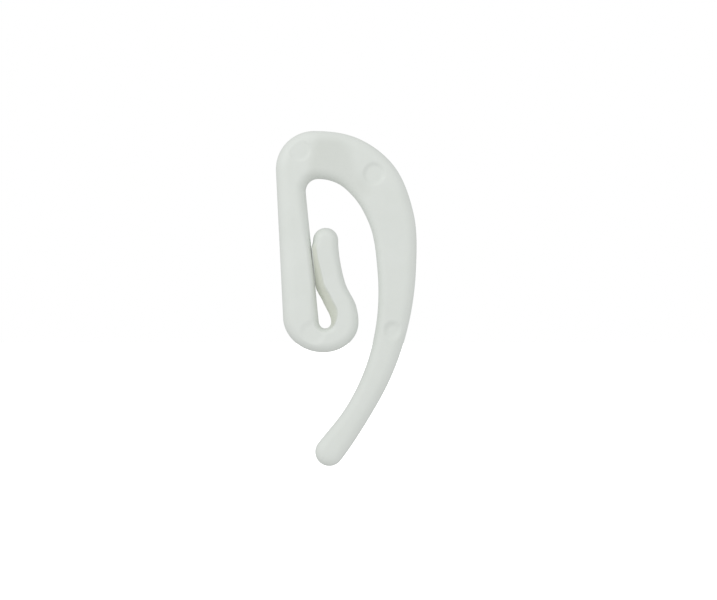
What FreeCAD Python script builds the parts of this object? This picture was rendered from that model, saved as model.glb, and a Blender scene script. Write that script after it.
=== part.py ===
# Curtain hook, moulded in one piece from white plastic.
# A shank runs down from the crown, turns under a small eye and comes back up as a springy tongue.
# From the crown's other side a long tail curves down past the eye and tapers to a round tip.
# Millimetres. X runs from the shank towards the tail, Y through the thickness (front is -Y), Z up.
# The origin is the seat: the highest point inside the crown, halfway through the thickness.
import FreeCAD, Part

import os

# Overall sizes
overall_height = 33.5          # crown's top to the tail's tip
overall_width = 13.9           # shank's outer side to the tail's belly

# Crown
crown_wall = 4.8               # material above the seat
corner_radius = 4.05           # round over the shank's top
throat_radius = 1.40           # inside corner between the shank and the seat
throat_reach = 1.47            # seat's centre to the shank's inner side, at the throat

# Shank
shank_width = 2.88             # at the throat
foot_width = 3.55              # level with the eye
foot_rise = 0.4                # eye's centre up to where the shank's outer side starts to turn

# Eye and the bend under it
eye_drop = 14.32               # seat to the eye's centre
eye_offset = 0.45              # eye's centre towards the tail
eye_radius = 0.62
bend_wall = 2.40               # material under the eye
side_wall = 2.73               # material between the eye and the bend's outer side
bend_low_share = 0.53          # the bend's lowest point, as a share of the way across it

# Tongue
tongue_length = 9.43           # eye's centre to the tongue's top
tongue_width = 2.50            # round top
tongue_waist = 2.77            # halfway down the lip
tongue_knee = 3.05             # at the lip's foot
tongue_root = 3.17             # where it meets the bend, measured level
root_across = 0.50             # the slot side's bulge, as shares of the way from the lip's foot to the eye
root_down = 0.47
hip_down = 0.585               # where the root is measured, as a share of that way
lip_length = 3.6               # stretch that closes against the shank
lip_lead = 0.8                 # curve from the lip up to the round top
lip_gap = 0.05                 # clearance to the shank along the lip
lip_lean = 0.24                # how much further the round top stands off the shank

# Tail, widths across the curve
shoulder_width = 5.1
belly_width = 3.87
thigh_width = 2.74
neck_width = 2.52
tip_radius = 1.42
upper_share = 0.43             # how far the width has gone from the shoulder's to the belly's
lower_share = 0.58             # and from the belly's to the thigh's

# Thickness
shank_thickness = 3.0          # shank, bend and tongue
tail_step = 0.3                # how far the tail's faces lie below the shank's, front and back
ramp_start = -0.7              # the crown slopes from the one to the other between these, along X
ramp_end = 3.0
edge_round = 1.0               # rounding of every outline edge, front and back
round_limit = 0.45             # the most of the thickness that a rounding may take
bend_margin = 0.1              # how far outside the bend the tail's relief and the flexing stretch's cut end

# Marks that the ejector pins left on the front face, and where their centres are
pin_radius = 1.0
pin_depth = 0.15
corner_pin = (2.28, 2.0)       # in from the shank's outer side, down from the crown's top
shoulder_pin = (0.3, 0.45)     # from the tail's shoulder station
lower_pin = (-0.03, -0.9)      # from the tail's lower station
bend_pin = (-0.6, 1.9)         # from the eye's near side, up from the bend's underside

# Shape of the tail's centreline: share of the way out to the belly, then share of the way down,
# first from the middle of the crown to the eye and then from the bend's underside to the tip
TAIL_BESIDE = {
    "saddle": (0.365, 0.0373),
    "shoulder": (0.676, 0.1456),
    "upper": (0.926, 0.3728),
    "belly": (1.0, 0.6781),
    "lower": (0.949, 0.9941),
}
TAIL_BELOW = {
    "thigh": (0.761, 0.1938),
    "neck": (0.476, 0.6178),
    "tip": (0.116, 1.0),
}

# Cubic handle length that makes a quarter circle
ROUND_HANDLE = 0.5523


def point(x, z):
    """A point of the outline, in the mid-plane."""
    return FreeCAD.Vector(x, 0, z)


def between(a, b, share):
    """The value that lies a given share of the way from a to b."""
    return a + (b - a) * share


def line(start, end):
    """A straight edge."""
    return Part.makeLine(start, end)


def bend(start, corner, end):
    """A round edge that leaves start towards corner and reaches end coming from corner."""
    curve = Part.BezierCurve()
    first_handle = start + (corner - start) * ROUND_HANDLE
    last_handle = end + (corner - end) * ROUND_HANDLE
    curve.setPoles([start, first_handle, last_handle, end])
    return curve.toShape()


def flowing(points, first_way, last_way):
    """One smooth edge through points that starts along first_way and ends along last_way."""
    reach = [0.0]
    for before, after in zip(points, points[1:]):
        reach.append(reach[-1] + (after - before).Length)
    ways = [FreeCAD.Vector(first_way).normalize()]
    for index in range(1, len(points) - 1):
        back = (points[index] - points[index - 1]) / (reach[index] - reach[index - 1])
        ahead = (points[index + 1] - points[index]) / (reach[index + 1] - reach[index])
        lean = (reach[index] - reach[index - 1]) / (reach[index + 1] - reach[index - 1])
        ways.append((back * (1 - lean) + ahead * lean).normalize())
    ways.append(FreeCAD.Vector(last_way).normalize())
    curve = Part.BSplineCurve()
    curve.interpolate(
        Points=points, Parameters=reach, Tangents=ways, TangentFlags=[True] * len(points), Scale=False
    )
    return curve.toShape()


# Places that more than one feature uses
seat_z = 0.0
eye_z = -eye_drop
eye_left = eye_offset - eye_radius
eye_right = eye_offset + eye_radius
bend_bottom = eye_z - eye_radius - bend_wall
bend_right = eye_right + side_wall
shank_left = -throat_reach - shank_width
foot_left = eye_left - foot_width
tail_right = shank_left + overall_width
belly_x = tail_right - belly_width / 2
tip_z = crown_wall - overall_height + tip_radius
pivot_z = (eye_z - eye_radius + bend_bottom) / 2


def shank_inner_x(z):
    """Inner side of the shank at height z: a straight line from the throat to the eye."""
    return between(-throat_reach, eye_left, (z + throat_radius) / (eye_z + throat_radius))


def shank_outer_x(z):
    """Outer side of the shank at height z: a straight line from the throat to the foot."""
    return between(shank_left, foot_left, (z + throat_radius) / (eye_z + throat_radius))


def tail_stations():
    """Centre and half width of the tail at each named station, by name, from the crown to the tip."""
    widths = {
        "saddle": (crown_wall + shoulder_width) / 2,
        "shoulder": shoulder_width,
        "upper": between(shoulder_width, belly_width, upper_share),
        "belly": belly_width,
        "lower": between(belly_width, thigh_width, lower_share),
        "thigh": thigh_width,
        "neck": neck_width,
        "tip": 2 * tip_radius,
    }
    stations = {}
    for shape, high, low in ((TAIL_BESIDE, crown_wall / 2, eye_z), (TAIL_BELOW, bend_bottom, tip_z)):
        for name, (out, down) in shape.items():
            stations[name] = (point(out * belly_x, between(high, low, down)), widths[name] / 2)
    return stations


def tail_edges(crown_end, seat_end):
    """The tail's outer edge from the crown, its round tip, and its inner edge back to the seat."""
    stations = list(tail_stations().values())
    centreline = Part.BSplineCurve()
    centreline.interpolate([point(0, crown_wall / 2)] + [centre for centre, half in stations])
    outer = [crown_end]
    inner = [seat_end]
    for centre, half in stations:
        along = FreeCAD.Vector(*centreline.tangent(centreline.parameter(centre))[0])
        across = FreeCAD.Vector(-along.z, 0, along.x).normalize()
        outer.append(centre + across * half)
        inner.append(centre - across * half)
    tip_centre = stations[-1][0]
    tip_end = tip_centre + along.normalize() * tip_radius
    level = FreeCAD.Vector(1, 0, 0)
    return [
        flowing(outer, level, along),
        Part.Arc(outer[-1], tip_end, inner[-1]).toShape(),
        flowing(inner[::-1], along * -1, level * -1),
    ]


def tongue_edges(bend_end, eye_end):
    """The tongue's outer side up from the bend, its round top, and the lip and root down to the eye."""
    head_radius = tongue_width / 2
    head_z = eye_z + tongue_length - head_radius
    lip_top_z = head_z - lip_lead
    lip_foot_z = lip_top_z - lip_length
    lip_top = point(shank_inner_x(lip_top_z) + lip_gap, lip_top_z)
    lip_foot = point(shank_inner_x(lip_foot_z) + lip_gap, lip_foot_z)
    head = point(shank_inner_x(head_z) + lip_gap + lip_lean + head_radius, head_z)
    side = FreeCAD.Vector(head_radius, 0, 0)
    up = FreeCAD.Vector(0, 0, 1)
    root = point(between(lip_foot.x, eye_right, root_across), between(lip_foot_z, eye_z, root_down))
    hip = point(between(lip_foot.x, eye_right, hip_down) + tongue_root, between(lip_foot_z, eye_z, hip_down))
    knee = lip_foot + FreeCAD.Vector(tongue_knee, 0, 0)
    waist = (lip_top + lip_foot) / 2 + FreeCAD.Vector(tongue_waist, 0, 0)
    return [
        flowing([bend_end, hip, knee, waist, head + side], up, up),
        Part.Arc(head + side, head + up * head_radius, head - side).toShape(),
        flowing([head - side, lip_top], up * -1, lip_foot - lip_top),
        line(lip_top, lip_foot),
        flowing([lip_foot, root, eye_end], lip_foot - lip_top, up * -1),
    ]


def outline():
    """The hook's whole outline as one closed face."""
    corner_low = crown_wall - corner_radius
    outer_top = point(shank_outer_x(corner_low), corner_low)
    outer_foot = point(shank_outer_x(eye_z + foot_rise), eye_z + foot_rise)
    crown_end = point(shank_outer_x(crown_wall) + corner_radius, crown_wall)
    throat = point(-throat_reach, -throat_radius)
    seat_end = point(shank_inner_x(seat_z) + throat_radius, seat_z)
    eye_start = point(eye_left, eye_z)
    eye_bottom = point(eye_offset, eye_z - eye_radius)
    eye_end = point(eye_right, eye_z)
    loop_bottom = point(between(foot_left, bend_right, bend_low_share), bend_bottom)
    bend_end = point(bend_right, eye_z)
    edges = [
        line(outer_foot, outer_top),
        bend(outer_top, point(shank_outer_x(crown_wall), crown_wall), crown_end),
        *tail_edges(crown_end, seat_end),
        bend(seat_end, point(shank_inner_x(seat_z), seat_z), throat),
        line(throat, eye_start),
        bend(eye_start, point(shank_inner_x(eye_z - eye_radius), eye_z - eye_radius), eye_bottom),
        bend(eye_bottom, point(eye_right, eye_z - eye_radius), eye_end),
        *tongue_edges(bend_end, eye_end)[::-1],
        bend(bend_end, point(bend_right, bend_bottom), loop_bottom),
        bend(loop_bottom, point(shank_outer_x(bend_bottom), bend_bottom), outer_foot),
    ]
    wire = Part.Wire(Part.__sortEdges__(edges))
    return Part.Face(wire)


def box(low, high):
    """A box between two opposite corners."""
    size = high - low
    return Part.makeBox(size.x, size.y, size.z, low)


def tail_relief():
    """What is taken off the front of the crown's far side and of the tail to bring them to their level."""
    full = shank_thickness / 2
    thin = full - tail_step
    clear = shank_thickness
    far_x = tail_right + clear
    crown_low = eye_z + tongue_length + lip_lean
    beside_x = bend_right + bend_margin
    below_z = bend_bottom - bend_margin
    profile = Part.makePolygon([
        FreeCAD.Vector(ramp_start, -full, crown_low),
        FreeCAD.Vector(ramp_end, -thin, crown_low),
        FreeCAD.Vector(far_x, -thin, crown_low),
        FreeCAD.Vector(far_x, -clear, crown_low),
        FreeCAD.Vector(ramp_start, -clear, crown_low),
        FreeCAD.Vector(ramp_start, -full, crown_low),
    ])
    crown = Part.Face(profile).extrude(FreeCAD.Vector(0, 0, crown_wall + clear - crown_low))
    beside_bend = box(FreeCAD.Vector(beside_x, -clear, below_z), FreeCAD.Vector(far_x, -thin, crown_low))
    below_bend = box(
        FreeCAD.Vector(shank_left - clear, -clear, tip_z - clear), FreeCAD.Vector(far_x, -thin, below_z)
    )
    return crown.fuse([beside_bend, below_bend])


def rounded_slab(face):
    """The outline at the shank's thickness, with all its front and back edges rounded."""
    start = face.translated(FreeCAD.Vector(0, -shank_thickness / 2, 0))
    slab = start.extrude(FreeCAD.Vector(0, shank_thickness, 0))
    rims = [edge for edge in slab.Edges if edge.BoundBox.YLength < shank_thickness / 2]
    return slab.makeFillet(min(edge_round, round_limit * shank_thickness), rims)


def pin_marks():
    """The shallow round marks on the front face: crown corner, shoulder, lower tail and bend."""
    stations = tail_stations()
    shoulder = stations["shoulder"][0]
    lower = stations["lower"][0]
    full = shank_thickness / 2
    thin = full - tail_step
    places = [
        (shank_left + corner_pin[0], crown_wall - corner_pin[1], full),
        (shoulder.x + shoulder_pin[0], shoulder.z + shoulder_pin[1], thin),
        (lower.x + lower_pin[0], lower.z + lower_pin[1], thin),
        (eye_left + bend_pin[0], bend_bottom + bend_pin[1], full),
    ]
    marks = []
    for x, z, half in places:
        base = FreeCAD.Vector(x, -half - pin_depth, z)
        marks.append(Part.makeCylinder(pin_radius, 2 * pin_depth, base, FreeCAD.Vector(0, 1, 0)))
    return marks


def whole_hook():
    """The moulding before it is divided where it flexes."""
    relief = tail_relief()
    back_relief = relief.mirror(FreeCAD.Vector(0, 0, 0), FreeCAD.Vector(0, 1, 0))
    return rounded_slab(outline()).cut([relief, back_relief, *pin_marks()])


def main():
    """Writes the hook's rigid body, the short bend that flexes, and the tongue that swings on it."""
    os.makedirs("parts", exist_ok=True)
    hook = whole_hook()
    low = FreeCAD.Vector(eye_left, -shank_thickness, bend_bottom - bend_margin)
    high = FreeCAD.Vector(eye_right, shank_thickness, eye_z)
    flexing = box(low, high)
    bend_piece = hook.common(flexing)
    rest = sorted(hook.cut(flexing).Solids, key=lambda solid: solid.Volume)
    pieces = {"hook_body": rest[-1], "spring_bend": bend_piece.Solids[0], "clip_tongue": rest[0]}
    for name, solid in pieces.items():
        solid.exportStep("parts/" + name + ".step")
        print(name, "volume", round(solid.Volume, 2), "valid", solid.isValid())
    print("rest solids", len(rest), "bend solids", len(bend_piece.Solids))
    print("tongue swings about x", round((eye_left + eye_right) / 2, 3), "z", round(pivot_z, 3))


main()
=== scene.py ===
import math

import bmesh
import bpy
import numpy as np
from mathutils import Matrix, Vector


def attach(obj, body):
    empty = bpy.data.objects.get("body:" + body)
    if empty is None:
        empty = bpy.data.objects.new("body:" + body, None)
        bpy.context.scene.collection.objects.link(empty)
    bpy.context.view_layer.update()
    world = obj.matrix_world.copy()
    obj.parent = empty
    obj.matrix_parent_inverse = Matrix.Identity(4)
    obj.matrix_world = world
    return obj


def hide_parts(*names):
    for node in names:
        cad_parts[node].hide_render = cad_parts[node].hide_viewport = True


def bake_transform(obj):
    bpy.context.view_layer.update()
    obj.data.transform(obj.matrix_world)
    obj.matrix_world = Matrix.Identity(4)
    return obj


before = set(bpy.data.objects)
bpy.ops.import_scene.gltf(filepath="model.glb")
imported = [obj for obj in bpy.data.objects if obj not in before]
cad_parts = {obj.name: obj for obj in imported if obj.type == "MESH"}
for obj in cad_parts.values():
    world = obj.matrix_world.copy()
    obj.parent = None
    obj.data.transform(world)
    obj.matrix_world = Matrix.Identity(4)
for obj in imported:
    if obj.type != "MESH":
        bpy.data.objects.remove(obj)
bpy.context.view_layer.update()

# A curtain hook in white plastic. Its skin is one bent, tapering rod: rings of vertices run from the
# tail's tip over the crown, down the shank, round the eye and up the tongue.
# Lengths are in millimetres until skin() writes them in metres. X to the tail, Y back, Z up.
MM = 0.001

# Outline, from the same sizes as the frame
overall_height = 33.5
overall_width = 13.9
crown_wall = 4.8
corner_radius = 4.05
throat_radius = 1.4
throat_reach = 1.47
shank_width = 2.88
foot_width = 3.55
foot_rise = 0.4
eye_z = -14.32
eye_offset = 0.45
eye_radius = 0.62
bend_wall = 2.40
side_wall = 2.73
bend_low_share = 0.53
tongue_length = 9.43
tongue_width = 2.50
tongue_waist = 2.77
tongue_knee = 3.05
tongue_root = 3.17
root_across = 0.50
root_down = 0.47
hip_down = 0.585
lip_length = 3.6
lip_lead = 0.8
lip_gap = 0.02
lip_lean = 0.24
shoulder_width = 5.1
belly_width = 3.87
thigh_width = 2.74
neck_width = 2.52
tip_radius = 1.42
upper_share = 0.43
lower_share = 0.58

# Half thicknesses, and where they change: below CROWN_LOW the tail thins towards its tip between the
# TIP_THINNING heights, and the tongue reaches its own this far above the eye
SHANK_HALF = 1.5
TAIL_HALF = 1.2
TIP_HALF = 1.1
TONGUE_HALF = 1.4
CROWN_LOW = -5
TIP_THINNING = (-14, -26)
TONGUE_RAMP = 3

TAIL_SHAPE = {
    "saddle": (0.365, 0.021),
    "shoulder": (0.676, 0.082),
    "upper": (0.926, 0.210),
    "belly": (1.0, 0.382),
    "lower": (0.949, 0.560),
    "thigh": (0.761, 0.730),
    "neck": (0.476, 0.872),
    "tip": (0.116, 1.0),
}
ROUND_HANDLE = 0.5523

eye_left = eye_offset - eye_radius
eye_right = eye_offset + eye_radius
bend_bottom = eye_z - eye_radius - bend_wall
bend_right = eye_right + side_wall
shank_left = -throat_reach - shank_width
foot_left = eye_left - foot_width
belly_x = shank_left + overall_width - belly_width / 2
tip_z = crown_wall - overall_height + tip_radius

# Crown: where it ramps from the shank's thickness to the tail's, and its shallow sink
RAMP_START = -1.2
RAMP_END = 3.2
SINK_DEPTH = 0.12
SINK_RETURN = 0.5
SINK_IN = (-1.3, 3.0)
SINK_RISE = (3.0, 4.0)
SINK_OUT = (4.0, 9.0)
SINK_LOW = (-3.0, -0.5)

# Width of each edge's rounding: share of the way along the part, outer edge, inner edge
ROUNDING = {
    "tail": [(0.0, 1.25, 1.15), (0.3, 1.2, 1.0), (0.6, 1.15, 0.95), (0.85, 1.2, 1.05), (1.0, 1.3, 1.2)],
    "corner": [(0.0, 1.3, 1.2), (1.0, 1.4, 1.25)],
    "shank": [(0.0, 1.4, 1.25), (0.25, 1.45, 1.1), (0.5, 1.5, 0.62), (0.75, 1.5, 0.62), (1.0, 1.5, 1.05)],
    "bend": [(0.0, 1.5, 1.05), (0.3, 1.3, 0.9), (0.6, 1.05, 0.7), (1.0, 0.95, 0.9)],
    "tongue": [(0.0, 0.95, 0.9), (0.5, 0.8, 0.9), (1.0, 1.0, 1.0)],
}

# How full an edge's rounding is: 2 is a quarter ellipse, and more is squarer
EDGE_FULLNESS = 2.2

# The tongue's steep side in the slot: how wide it looks from the front along the lip and at the root,
# how high it starts and ends, and the heights between which it narrows
FLANK_NARROW = 0.50
FLANK_WIDE = 0.92
FLANK_FOOT_ROOT = 0.15
FLANK_FOOT_LIP = 0.60
FLANK_TOP = 0.90
FLANK_FOOT_ROUND = 0.08
FLANK_RIM = (0.93, 1.16)
FLANK_ROOT_SHARE = 0.3
# Where the painted shade on the steep side fades out, as shares of its width
FLANK_SHADE_FADE = (0.8, 1.15)
FLANK_LIP = (-11.5, -7.0)
FLANK_ROOT = (-15.1, -12.8)
FLANK_END = (-7.1, -6.2)
FLANK_BEGIN = (-15.2, -14.3)

# Ejector pin marks on the front, each a flat floor sunk below the face: place, radius, depth and how
# wide its wall is
PIN_MARKS = (
    (-2.07, 2.80, 1.00, 0.13, 0.18),
    (5.36, 0.47, 1.00, 0.22, 0.24),
    (7.22, -15.12, 0.73, 0.27, 0.36),
    (-0.78, -15.45, 1.10, 0.14, 0.35),
)

# Where the crown gets painted shade, a greyer band for its ramp turning away from the light: along X it
# comes in quickly and goes out slowly, and it fades at the outer edge and below the seat
BAND_START = (-1.2, -0.2)
BAND_END = (1.9, 3.7)
BAND_LOW = (-2.2, -0.6)
BAND_RIM = (0.1, 1.1)
BAND_MIDDLE = 2.7
BAND_SLANT_IN = 0.25
BAND_SLANT_OUT = 0.5

# The closed lip: heights where its painted light comes in and goes out, and how far in from the edge it
# reaches; a lighter patch painted to lift the shade in the groove between shank and tongue
LIP_START = (-11.0, -9.0)
LIP_END = (-7.0, -6.2)
LIP_REACH = (0.04, 0.18)

# Colours
TONE_LOW = (0.775, 0.810, 0.770)
TONE_HIGH = (0.796, 0.830, 0.794)
# Painted shade: the tongue's steep side in the slot, darker and yellower, standing in for the shade and
# bounce light in the gap
SLOT_PAINTED_SHADE = (0.930, 0.920, 0.860)
# Painted light: the lip's sides lightened against the shade of the groove between shank and tongue
LIP_PAINTED_LIGHT = (1.060, 1.055, 1.045)
# Painted shade: a greyer band on the crown's ramp where it turns away from the light
BAND_PAINTED_SHADE = (0.938, 0.938, 0.930)

# Plastic: each noise's scale, and the heights of its bumps in metres
PLASTIC_IOR = 1.48
PLASTIC_SPECULAR = 0.35
PLASTIC_ROUGHNESS = (0.42, 0.56)
CLOUD_SCALE = 420.0
CLOUD_SPAN = (0.30, 0.70)
GRAIN_SCALE = 9000.0
GRAIN_HEIGHT = 0.00002
GRAIN_STRENGTH = 0.25
FLOW_SCALE = 1300.0
FLOW_HEIGHT = 0.00008
FLOW_STRENGTH = 0.3

# Studio and camera, in metres
FLOOR_Z = -0.060
FLOOR_REACH = 3.0
FLOOR_WHITE = 0.97
FLOOR_ROUGHNESS = 0.9
FLOOR_GLOW = 0.8
LIGHT_FROM = (0.20, -0.88, 0.41)
LIGHT_LEVEL = 0.70
LIGHT_LEAN = 0.30
KEY_PLACE = (-0.075, -0.055, 0.045)
KEY_AIM = (0.0035, 0, -0.012)
KEY_SIZE = 0.03
KEY_WATTS = 0.016
CAMERA_AWAY = 0.30
SENSOR_WIDTH = 36.0
NEAREST_SEEN = 0.01
VIEW_WIDTH = 0.0717
VIEW_X = 0.0038
VIEW_Z = -0.0121

# Mesh density, and each part's length as it sets the number of its rings
RINGS_PER_MM = 10.0
FEWEST_RINGS = 4
CORNER_REACH = 5.5
SHANK_REACH = 14.2
QUARTER_REACH = 5.0
TONGUE_REACH = 8.3
TIP_RINGS = 26
HEAD_RINGS = 24
SPAN_SAMPLES = 30
LEAD_SAMPLES = 12
ACROSS = 72
EDGE_CROWDING = 0.75
EDGE_WINDOW = 90


def spot(x, z):
    """A point or a direction in the hook's plane."""
    return np.array([x, z], float)


def unit(v):
    return v / np.hypot(*v)


def between(a, b, share):
    """The value a given share of the way from a to b."""
    return a + (b - a) * share


def shank_inner_x(z):
    """Inner side of the shank at height z."""
    return between(-throat_reach, eye_left, (z + throat_radius) / (eye_z + throat_radius))


def shank_outer_x(z):
    """Outer side of the shank at height z."""
    return between(shank_left, foot_left, (z + throat_radius) / (eye_z + throat_radius))


def line(start, end, count):
    share = np.linspace(0, 1, count)[:, None]
    return between(start, end, share)


def bend(start, corner, end, count):
    """A round stretch that leaves start towards corner and reaches end coming from corner."""
    t = np.linspace(0, 1, count)[:, None]
    first = between(start, corner, ROUND_HANDLE)
    last = between(end, corner, ROUND_HANDLE)
    return start * (1 - t) ** 3 + 3 * first * t * (1 - t) ** 2 + 3 * last * t**2 * (1 - t) + end * t**3


def ways_through(points, first_way, last_way):
    """The direction of a smooth curve at each of its points."""
    ways = [unit(first_way)]
    for before, here, after in zip(points, points[1:], points[2:]):
        back_length = np.hypot(*(here - before))
        ahead_length = np.hypot(*(after - here))
        lean = back_length / (back_length + ahead_length)
        back = (here - before) / back_length
        ahead = (after - here) / ahead_length
        ways.append(unit(back * (1 - lean) + ahead * lean))
    ways.append(unit(last_way))
    return ways


def hermite(start, end, start_way, end_way, count):
    """One span of a smooth curve."""
    t = np.linspace(0, 1, count)[:, None]
    length = np.hypot(*(end - start))
    return (
        (2 * t**3 - 3 * t**2 + 1) * start
        + (t**3 - 2 * t**2 + t) * length * start_way
        + (3 * t**2 - 2 * t**3) * end
        + (t**3 - t**2) * length * end_way
    )


def flowing(points, first_way, last_way, counts):
    """A smooth curve through points, with a stated number of samples in each span."""
    ways = ways_through(points, first_way, last_way)
    spans = []
    for index, count in enumerate(counts):
        span = hermite(points[index], points[index + 1], ways[index], ways[index + 1], count)
        spans.append(span if index == 0 else span[1:])
    return np.concatenate(spans)


def chain(*stretches):
    """Stretches end to end, without their shared points."""
    return np.concatenate([stretches[0]] + [stretch[1:] for stretch in stretches[1:]])


def rings_for(length):
    """Number of rings along a part this long."""
    return max(FEWEST_RINGS, int(round(length * RINGS_PER_MM)) + 1)


def tail_stations():
    """Centre and half width of the tail at each named station, from the crown to the tip."""
    widths = {
        "saddle": (crown_wall + shoulder_width) / 2,
        "shoulder": shoulder_width,
        "upper": between(shoulder_width, belly_width, upper_share),
        "belly": belly_width,
        "lower": between(belly_width, thigh_width, lower_share),
        "thigh": thigh_width,
        "neck": neck_width,
        "tip": 2 * tip_radius,
    }
    return [
        (spot(out * belly_x, between(crown_wall / 2, tip_z, down)), widths[name] / 2)
        for name, (out, down) in TAIL_SHAPE.items()
    ]


def tail_chains(crown_end, seat_end):
    """The tail's two edges from the tip up to the crown, ring by ring, and the tip's centre."""
    stations = tail_stations()
    centres = [spot(0, crown_wall / 2)] + [centre for centre, half in stations]
    tangents = natural_tangents(centres)
    outer = [crown_end]
    inner = [seat_end]
    for (centre, half), way in zip(stations, tangents[1:]):
        across = spot(-way[1], way[0])
        outer.append(centre + across * half)
        inner.append(centre - across * half)
    counts = [rings_for(np.hypot(*(a - b))) for a, b in zip(centres, centres[1:])]
    outer_edge = flowing(outer, spot(1, 0), tangents[-1], counts)
    inner_edge = flowing(inner, spot(1, 0), tangents[-1], counts)
    return outer_edge[::-1], inner_edge[::-1], stations[-1][0], tangents[-1]


def natural_tangents(points):
    """Directions at the points of the natural cubic spline through them."""
    points = np.array(points)
    count = len(points)
    steps = np.hypot(*np.diff(points, axis=0).T)
    system = np.zeros((count, count))
    right = np.zeros((count, 2))
    system[0, :2] = 2, 1
    system[-1, -2:] = 1, 2
    right[0] = 3 * (points[1] - points[0]) / steps[0]
    right[-1] = 3 * (points[-1] - points[-2]) / steps[-1]
    for i in range(1, count - 1):
        system[i, i - 1] = steps[i]
        system[i, i] = 2 * (steps[i - 1] + steps[i])
        system[i, i + 1] = steps[i - 1]
        right[i] = 3 * (
            steps[i] * (points[i] - points[i - 1]) / steps[i - 1]
            + steps[i - 1] * (points[i + 1] - points[i]) / steps[i]
        )
    slopes = np.linalg.solve(system, right)
    return [unit(slope) for slope in slopes]


def cap(centre, way, radius, count):
    """The round end beyond centre: its two sides, ring by ring, ending together in one point."""
    turn = np.linspace(0, math.pi / 2, count)[:, None]
    across = spot(-way[1], way[0])
    reach = centre + way * radius * np.sin(turn)
    half = across * radius * np.cos(turn)
    return reach + half, reach - half


def make_chains():
    """Outer and inner edge of the whole hook, ring by ring from the tail's tip to the tongue's top."""
    corner_low = crown_wall - corner_radius
    outer_top = spot(shank_outer_x(corner_low), corner_low)
    outer_foot = spot(shank_outer_x(eye_z + foot_rise), eye_z + foot_rise)
    crown_end = spot(shank_outer_x(crown_wall) + corner_radius, crown_wall)
    throat = spot(-throat_reach, -throat_radius)
    seat_end = spot(shank_inner_x(0) + throat_radius, 0)
    eye_start = spot(eye_left, eye_z)
    eye_bottom = spot(eye_offset, eye_z - eye_radius)
    eye_end = spot(eye_right, eye_z)
    loop_bottom = spot(between(foot_left, bend_right, bend_low_share), bend_bottom)
    bend_end = spot(bend_right, eye_z)

    tail_outer, tail_inner, tip_centre, tip_way = tail_chains(crown_end, seat_end)
    tip_outer, tip_inner = cap(tip_centre, tip_way, tip_radius, TIP_RINGS)
    corner_count = rings_for(CORNER_REACH)
    shank_count = rings_for(SHANK_REACH)
    quarter_count = rings_for(QUARTER_REACH)

    head_radius = tongue_width / 2
    head_z = eye_z + tongue_length - head_radius
    lip_top_z = head_z - lip_lead
    lip_foot_z = lip_top_z - lip_length
    lip_top = spot(shank_inner_x(lip_top_z) + lip_gap, lip_top_z)
    lip_foot = spot(shank_inner_x(lip_foot_z) + lip_gap, lip_foot_z)
    head = spot(shank_inner_x(head_z) + lip_gap + lip_lean + head_radius, head_z)
    side = spot(head_radius, 0)
    up = spot(0, 1)
    root = spot(between(lip_foot[0], eye_right, root_across), between(lip_foot_z, eye_z, root_down))
    hip = spot(between(lip_foot[0], eye_right, hip_down) + tongue_root, between(lip_foot_z, eye_z, hip_down))
    knee = lip_foot + spot(tongue_knee, 0)
    waist = (lip_top + lip_foot) / 2 + spot(tongue_waist, 0)
    tongue_count = rings_for(TONGUE_REACH)
    tongue_sides = [bend_end, hip, knee, waist, head + side]
    tongue_outer = resample(flowing(tongue_sides, up, up, [SPAN_SAMPLES] * 4), tongue_count)
    lip_way = lip_foot - lip_top
    tongue_inner = resample(
        chain(
            flowing([lip_foot, root, eye_end], lip_way, -up, [SPAN_SAMPLES] * 2)[::-1],
            line(lip_foot, lip_top, SPAN_SAMPLES),
            hermite(lip_top, head - side, unit(-lip_way), up, LEAD_SAMPLES),
        ),
        tongue_count,
    )
    head_inner, head_outer = cap(head, up, head_radius, HEAD_RINGS)

    outer = [
        ("tail", chain(tip_outer[::-1], tail_outer)),
        ("corner", bend(crown_end, spot(shank_outer_x(crown_wall), crown_wall), outer_top, corner_count)),
        ("shank", line(outer_top, outer_foot, shank_count)),
        ("bend", chain(
            bend(outer_foot, spot(shank_outer_x(bend_bottom), bend_bottom), loop_bottom, quarter_count),
            bend(loop_bottom, spot(bend_right, bend_bottom), bend_end, quarter_count),
        )),
        ("tongue", chain(tongue_outer, head_outer)),
    ]
    low = eye_z - eye_radius
    inner = [
        ("tail", chain(tip_inner[::-1], tail_inner)),
        ("corner", bend(seat_end, spot(shank_inner_x(0), 0), throat, corner_count)),
        ("shank", line(throat, eye_start, shank_count)),
        ("bend", chain(
            bend(eye_start, spot(shank_inner_x(low), low), eye_bottom, quarter_count),
            bend(eye_bottom, spot(eye_right, low), eye_end, quarter_count),
        )),
        ("tongue", chain(tongue_inner, head_inner)),
    ]
    return outer, inner


def resample(curve, count):
    """The same curve with evenly spaced points."""
    reach = np.concatenate([[0], np.cumsum(np.hypot(*np.diff(curve, axis=0).T))])
    wanted = np.linspace(0, reach[-1], count)
    return np.stack([np.interp(wanted, reach, curve[:, 0]), np.interp(wanted, reach, curve[:, 1])], axis=1)


def edge_distance(points, edge, index):
    """Each point's distance to the stretch of a polyline edge around an index."""
    near = edge[max(0, index - EDGE_WINDOW):index + EDGE_WINDOW]
    start = near[:-1]
    step = near[1:] - start
    length2 = np.maximum((step**2).sum(axis=1), 1e-12)
    offset = points[:, None, :] - start[None]
    share = np.clip((offset * step[None]).sum(axis=2) / length2, 0, 1)
    gap = offset - share[..., None] * step[None]
    return np.sqrt((gap**2).sum(axis=2)).min(axis=1)


def smooth(low, high, value):
    """0 up to low, 1 from high on and an even S between."""
    t = np.clip((value - low) / (high - low), 0, 1)
    return t * t * (3 - 2 * t)


def rounded(share):
    """Height of a rounded edge, from 0 at the rim to 1 where the flat face begins."""
    s = np.clip(share, 0, 1)
    return (1 - (1 - s) ** EDGE_FULLNESS) ** (1 / EDGE_FULLNESS)


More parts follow.
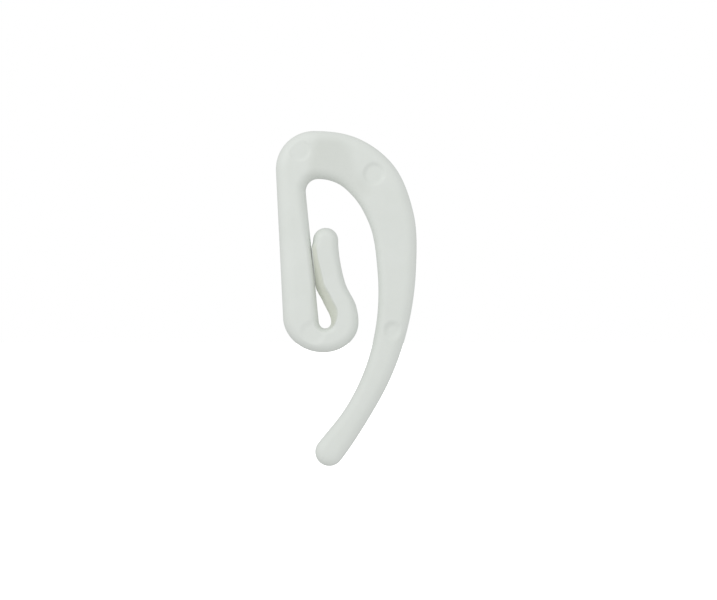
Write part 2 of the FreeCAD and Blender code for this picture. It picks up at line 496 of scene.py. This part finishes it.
def flank(share, z):
    """Height of the tongue's steep side in the slot: a straight slope with a crisp upper edge."""
    foot = between(FLANK_FOOT_ROOT, FLANK_FOOT_LIP, smooth(*FLANK_LIP, z))
    slope = between(foot, FLANK_TOP, share)
    start = rounded(share / FLANK_FOOT_ROUND) * slope
    return between(start, np.ones_like(share), smooth(*FLANK_RIM, share))


def flank_width(z):
    """How wide the tongue's steep side looks from the front at height z."""
    along_lip = between(FLANK_WIDE, FLANK_NARROW, smooth(*FLANK_LIP, z))
    return along_lip * between(FLANK_ROOT_SHARE, 1.0, smooth(*FLANK_ROOT, z))


def slot_side(part, x, z):
    """1 where the tongue has its steep side, 0 round the rest of the eye and above the lip."""
    if part not in ("bend", "tongue"):
        return np.zeros_like(x)
    steep = smooth(*FLANK_BEGIN, z) * (1 - smooth(*FLANK_END, z))
    if part == "bend":
        steep = steep * smooth(eye_offset, eye_right, x)
    return steep


def paint_light_and_shade(part, x, z, slot_shade_mask, to_outer, to_inner):
    """Painted light and shade of each point: painted shade, warm and dark, on the tongue's steep side in the
    slot; painted light beside the closed lip; painted shade on the crown's ramp.
    """
    rgb = np.ones((len(x), 3))
    # Painted shade: the tongue's steep side in the slot darker and yellower
    rgb = between(rgb, np.array(SLOT_PAINTED_SHADE), slot_shade_mask[:, None])
    # Painted light: both sides of the closed lip lighter, to lift the shade in the groove between them
    lip_light_mask = smooth(*LIP_START, z) * (1 - smooth(*LIP_END, z)) * (1 - smooth(*LIP_REACH, to_inner))
    if part in ("shank", "tongue"):
        rgb = between(rgb, np.array(LIP_PAINTED_LIGHT), lip_light_mask[:, None])
    if part in ("tail", "corner"):
        # Painted shade: a greyer band where the crown's ramp turns away from the light
        band_shade_mask = smooth(*BAND_START, x - BAND_SLANT_IN * (z - BAND_MIDDLE)) * smooth(*BAND_RIM, to_outer)
        band_shade_mask = band_shade_mask * (1 - smooth(*BAND_END, x + BAND_SLANT_OUT * (z - BAND_MIDDLE))) * smooth(*BAND_LOW, z)
        rgb = rgb * between(np.ones(3), np.array(BAND_PAINTED_SHADE), band_shade_mask[:, None])
    return rgb


def half_thickness(part, x, z):
    """Half of the moulding's thickness before its marks."""
    if part in ("tail", "corner"):
        crown = between(SHANK_HALF, TAIL_HALF, smooth(RAMP_START, RAMP_END, x))
        return np.where(z < CROWN_LOW, between(TAIL_HALF, TIP_HALF, smooth(*TIP_THINNING, z)), crown)
    if part == "tongue":
        return between(SHANK_HALF, TONGUE_HALF, smooth(eye_z, eye_z + TONGUE_RAMP, z))
    return np.full_like(x, SHANK_HALF)


def outer_rounding(part, place):
    """Width of the outer edge's rounding at a share of the way along a part."""
    rows = ROUNDING[part]
    return np.interp(place, [row[0] for row in rows], [row[1] for row in rows])


def inner_rounding(part, place):
    """Width of the inner edge's rounding at a share of the way along a part."""
    rows = ROUNDING[part]
    return np.interp(place, [row[0] for row in rows], [row[2] for row in rows])


def crown_sink(x, z):
    """How far the front of the crown's ramp is sunk, with part of it coming back beyond the ramp."""
    sink = smooth(*SINK_IN, x) * (1 - SINK_RETURN * smooth(*SINK_RISE, x)) * (1 - smooth(*SINK_OUT, x))
    return SINK_DEPTH * sink * smooth(*SINK_LOW, z)


def marked_front(x, z, height, half):
    """Height of the front face with the crown's sink and the pin marks' flat floors in it."""
    front = height - crown_sink(x, z) * height / half
    for mark_x, mark_z, radius, depth, wall in PIN_MARKS:
        away = np.hypot(x - mark_x, z - mark_z)
        inside = 1 - smooth(radius - wall, radius + wall, away)
        front = between(front, np.minimum(front, half - depth - crown_sink(x, z)), inside)
    return front


def ring_table():
    """Every ring's vertices in millimetres, their painted light and shade, and the rings where parts end."""
    outer_parts, inner_parts = make_chains()
    outer_all = chain(*[edge for name, edge in outer_parts])
    inner_all = chain(*[edge for name, edge in inner_parts])
    share = np.linspace(0, 1, ACROSS + 1)
    across = EDGE_CROWDING * (1 - np.cos(math.pi * share)) / 2 + (1 - EDGE_CROWDING) * share
    rings = []
    ring_painted_shading = []
    ends = {}
    for (part, outer), (_, inner) in zip(outer_parts, inner_parts):
        first = 1 if rings else 0
        for k in range(first, len(outer)):
            place = k / (len(outer) - 1)
            index = len(rings)
            flat = inner[k] + (outer[k] - inner[k]) * across[:, None]
            to_outer = edge_distance(flat, outer_all, index)
            to_inner = edge_distance(flat, inner_all, index)
            x, z = flat[:, 0], flat[:, 1]
            half = half_thickness(part, x, z)
            outer_round = outer_rounding(part, place)
            inner_round = inner_rounding(part, place)
            body = rounded(to_outer / outer_round)
            side = rounded(to_inner / inner_round)
            steep = slot_side(part, x, z)
            width = flank_width(z)
            side = between(side, flank(to_inner / width, z), steep)
            # Mask of the painted shade on the steep side, fading towards its rim
            slot_shade_mask = steep * (1 - smooth(*FLANK_SHADE_FADE, to_inner / width))
            painted_shading = paint_light_and_shade(part, x, z, slot_shade_mask, to_outer, to_inner)
            height = half * np.minimum(body, side)
            front = -marked_front(x, z, height, half)
            back = height
            front[0] = front[-1] = 0
            loop = np.concatenate([
                np.stack([x, front, z], axis=1),
                np.stack([x[-2:0:-1], back[-2:0:-1], z[-2:0:-1]], axis=1),
            ])
            rings.append(loop)
            ring_painted_shading.append(np.concatenate([painted_shading, painted_shading[-2:0:-1]]))
        ends[part] = len(rings) - 1
    return np.array(rings), np.array(ring_painted_shading), ends


def ring_normals(rings, k):
    """Normals of one ring, taken from its neighbours on both sides."""
    along = rings[k + 1] - rings[k - 1]
    around = np.roll(rings[k], -1, axis=0) - np.roll(rings[k], 1, axis=0)
    normals = np.cross(around, along)
    normals /= np.linalg.norm(normals, axis=1)[:, None]
    out = rings[k] - rings[k].mean(axis=0)
    if (normals * out).sum() < 0:
        normals = -normals
    return normals


def skin(name, rings, ring_painted_shading, first, last):
    """One closed piece of the skin between two rings."""
    around = rings.shape[1]
    points = []
    painted_shading = []
    rows = []
    for k in range(first, last + 1):
        if k in (0, len(rings) - 1):
            rows.append([len(points)] * around)
            points.append(rings[k].mean(axis=0))
            painted_shading.append(ring_painted_shading[k].mean(axis=0))
            continue
        rows.append(list(range(len(points), len(points) + around)))
        points.extend(rings[k])
        painted_shading.extend(ring_painted_shading[k])
    faces = []
    for lower, upper in zip(rows, rows[1:]):
        for j in range(around):
            n = (j + 1) % around
            corners = [lower[j], lower[n], upper[n], upper[j]]
            face = [c for i, c in enumerate(corners) if c != corners[i - 1]]
            faces.append(face)
    for row, flipped in ((rows[0], True), (rows[-1], False)):
        if row[0] == row[1]:
            continue
        for j in range(ACROSS):
            corners = [row[j], row[j + 1], row[-j - 1], row[-j]]
            face = [c for i, c in enumerate(corners) if c != corners[i - 1]]
            faces.append(face[::-1] if flipped else face)
    mesh = bpy.data.meshes.new(name)
    mesh.from_pydata([tuple(p * MM) for p in points], [], faces)
    mesh.update()
    bm = bmesh.new()
    bm.from_mesh(mesh)
    bmesh.ops.recalc_face_normals(bm, faces=bm.faces)
    bm.to_mesh(mesh)
    bm.free()
    mesh.shade_smooth()
    # This attribute carries the painted light and shade into the material
    layer = mesh.attributes.new("painted_shading", "FLOAT_COLOR", "POINT")
    rgba = np.concatenate([np.array(painted_shading), np.ones((len(painted_shading), 1))], axis=1)
    layer.data.foreach_set("color", rgba.astype(np.float32).ravel())
    normals = np.zeros((len(points), 3))
    for k, row in ((first, rows[0]), (last, rows[-1])):
        if row[0] != row[1]:
            normals[row] = ring_normals(rings, k)
    mesh.normals_split_custom_set_from_vertices([tuple(n) for n in normals])
    piece = bpy.data.objects.new(name, mesh)
    bpy.context.scene.collection.objects.link(piece)
    return piece


def node(tree, kind, place, **sockets):
    """A shader node with some of its sockets set."""
    made = tree.nodes.new(kind)
    made.location = place
    for socket, value in sockets.items():
        made.inputs[socket.replace("_", " ")].default_value = value
    return made


def white_plastic():
    """Satin white moulded plastic: faint cloudiness, the painted light and shade from the skin's attribute
    and a fine mould texture.
    """
    material = bpy.data.materials.new("white_plastic")
    material.use_nodes = True
    tree = material.node_tree
    links = tree.links
    shader = tree.nodes["Principled BSDF"]
    shader.inputs["IOR"].default_value = PLASTIC_IOR
    shader.inputs["Specular IOR Level"].default_value = PLASTIC_SPECULAR
    place = tree.nodes.new("ShaderNodeTexCoord")
    cloud = node(tree, "ShaderNodeTexNoise", (-900, 300), Scale=CLOUD_SCALE, Detail=3.0, Roughness=0.55)
    links.new(place.outputs["Object"], cloud.inputs["Vector"])
    tone = tree.nodes.new("ShaderNodeValToRGB")
    tone.color_ramp.elements[0].position = CLOUD_SPAN[0]
    tone.color_ramp.elements[0].color = (*TONE_LOW, 1)
    tone.color_ramp.elements[1].position = CLOUD_SPAN[1]
    tone.color_ramp.elements[1].color = (*TONE_HIGH, 1)
    links.new(cloud.outputs["Fac"], tone.inputs["Fac"])
    # Painted light and shade, read from the skin and multiplied into the colour
    painted_shading = tree.nodes.new("ShaderNodeAttribute")
    painted_shading.attribute_name = "painted_shading"
    shade = tree.nodes.new("ShaderNodeMix")
    shade.data_type = "RGBA"
    shade.blend_type = "MULTIPLY"
    shade.inputs[0].default_value = 1.0
    links.new(tone.outputs["Color"], shade.inputs[6])
    links.new(painted_shading.outputs["Color"], shade.inputs[7])
    links.new(shade.outputs[2], shader.inputs["Base Color"])
    grain = node(tree, "ShaderNodeTexNoise", (-900, -100), Scale=GRAIN_SCALE, Detail=4.0, Roughness=0.6)
    links.new(place.outputs["Object"], grain.inputs["Vector"])
    gloss = node(tree, "ShaderNodeMapRange", (-600, 0))
    gloss.inputs["To Min"].default_value = PLASTIC_ROUGHNESS[0]
    gloss.inputs["To Max"].default_value = PLASTIC_ROUGHNESS[1]
    links.new(grain.outputs["Fac"], gloss.inputs["Value"])
    links.new(gloss.outputs["Result"], shader.inputs["Roughness"])
    flow = node(tree, "ShaderNodeTexNoise", (-900, -400), Scale=FLOW_SCALE, Detail=2.0, Roughness=0.5)
    links.new(place.outputs["Object"], flow.inputs["Vector"])
    rough = node(tree, "ShaderNodeBump", (-500, -300), Strength=GRAIN_STRENGTH, Distance=GRAIN_HEIGHT)
    links.new(grain.outputs["Fac"], rough.inputs["Height"])
    wave = node(tree, "ShaderNodeBump", (-300, -300), Strength=FLOW_STRENGTH, Distance=FLOW_HEIGHT)
    links.new(flow.outputs["Fac"], wave.inputs["Height"])
    links.new(rough.outputs["Normal"], wave.inputs["Normal"])
    links.new(wave.outputs["Normal"], shader.inputs["Normal"])
    return material


def build_hook():
    """The hook's skin in three closed pieces: rigid body, bend and tongue."""
    rings, ring_painted_shading, ends = ring_table()
    plastic = white_plastic()
    hook = skin("hook_skin", rings, ring_painted_shading, 0, ends["shank"])
    loop = skin("bend_skin", rings, ring_painted_shading, ends["shank"], ends["bend"])
    tongue = skin("tongue_skin", rings, ring_painted_shading, ends["bend"], len(rings) - 1)
    for piece in (hook, loop, tongue):
        piece.data.materials.append(plastic)
    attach(hook, "hook")
    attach(tongue, "tongue")
    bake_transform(loop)
    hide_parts("hook_body")
    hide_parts("spring_bend")
    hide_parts("clip_tongue")


def area_light(name, place, aim, size, watts, tone):
    """A square soft light at place, turned to aim."""
    data = bpy.data.lights.new(name, "AREA")
    data.shape = "SQUARE"
    data.size = size
    data.energy = watts
    data.color = tone
    light = bpy.data.objects.new(name, data)
    light.location = place
    light.visible_camera = False
    light.rotation_euler = (Vector(aim) - Vector(place)).to_track_quat("-Z", "Y").to_euler()
    bpy.context.scene.collection.objects.link(light)


def studio_light():
    """White surroundings that light the hook more from the front, from above and a little from the right."""
    world = bpy.data.worlds.new("studio")
    world.use_nodes = True
    tree = world.node_tree
    links = tree.links
    background = tree.nodes["Background"]
    direction = tree.nodes.new("ShaderNodeTexCoord")
    aim = tree.nodes.new("ShaderNodeVectorMath")
    aim.operation = "DOT_PRODUCT"
    aim.inputs[1].default_value = LIGHT_FROM
    links.new(direction.outputs["Generated"], aim.inputs[0])
    strength = tree.nodes.new("ShaderNodeMapRange")
    strength.inputs["From Min"].default_value = -1
    strength.inputs["To Min"].default_value = LIGHT_LEVEL * (1 - LIGHT_LEAN)
    strength.inputs["To Max"].default_value = LIGHT_LEVEL * (1 + LIGHT_LEAN)
    links.new(aim.outputs["Value"], strength.inputs["Value"])
    seen = tree.nodes.new("ShaderNodeLightPath")
    shown = tree.nodes.new("ShaderNodeMix")
    shown.inputs["B"].default_value = 1.0
    links.new(seen.outputs["Is Camera Ray"], shown.inputs["Factor"])
    links.new(strength.outputs["Result"], shown.inputs["A"])
    links.new(shown.outputs["Result"], background.inputs["Strength"])
    background.inputs["Color"].default_value = (1.0, 1.0, 1.0, 1)
    return world


def build_studio():
    """White floor well below the hook, white surroundings and one small soft light."""
    scene = bpy.context.scene
    scene.view_settings.view_transform = "Standard"
    floor_mesh = bpy.data.meshes.new("floor")
    signs = ((-1, -1), (1, -1), (1, 1), (-1, 1))
    corners = [(x * FLOOR_REACH, y * FLOOR_REACH, FLOOR_Z) for x, y in signs]
    floor_mesh.from_pydata(corners, [], [(0, 1, 2, 3)])
    floor = bpy.data.objects.new("floor", floor_mesh)
    scene.collection.objects.link(floor)
    paint = bpy.data.materials.new("floor_paint")
    paint.use_nodes = True
    surface = paint.node_tree.nodes["Principled BSDF"]
    surface.inputs["Base Color"].default_value = (FLOOR_WHITE, FLOOR_WHITE, FLOOR_WHITE, 1)
    surface.inputs["Roughness"].default_value = FLOOR_ROUGHNESS
    surface.inputs["Emission Color"].default_value = (1, 1, 1, 1)
    surface.inputs["Emission Strength"].default_value = FLOOR_GLOW
    floor.data.materials.append(paint)
    floor.visible_diffuse = False
    floor.visible_glossy = False
    scene.world = studio_light()
    area_light("key", KEY_PLACE, KEY_AIM, KEY_SIZE, KEY_WATTS, (1.0, 1.0, 1.0))


def build_camera():
    """A long lens square on to the front, with the hook a little left of the middle."""
    data = bpy.data.cameras.new("camera")
    data.sensor_width = SENSOR_WIDTH
    data.lens = data.sensor_width * CAMERA_AWAY / VIEW_WIDTH
    data.clip_start = NEAREST_SEEN
    camera = bpy.data.objects.new("camera", data)
    camera.location = (VIEW_X, -CAMERA_AWAY, VIEW_Z)
    camera.rotation_euler = (math.pi / 2, 0, 0)
    bpy.context.scene.collection.objects.link(camera)
    bpy.context.scene.camera = camera


build_camera()
build_studio()
build_hook()
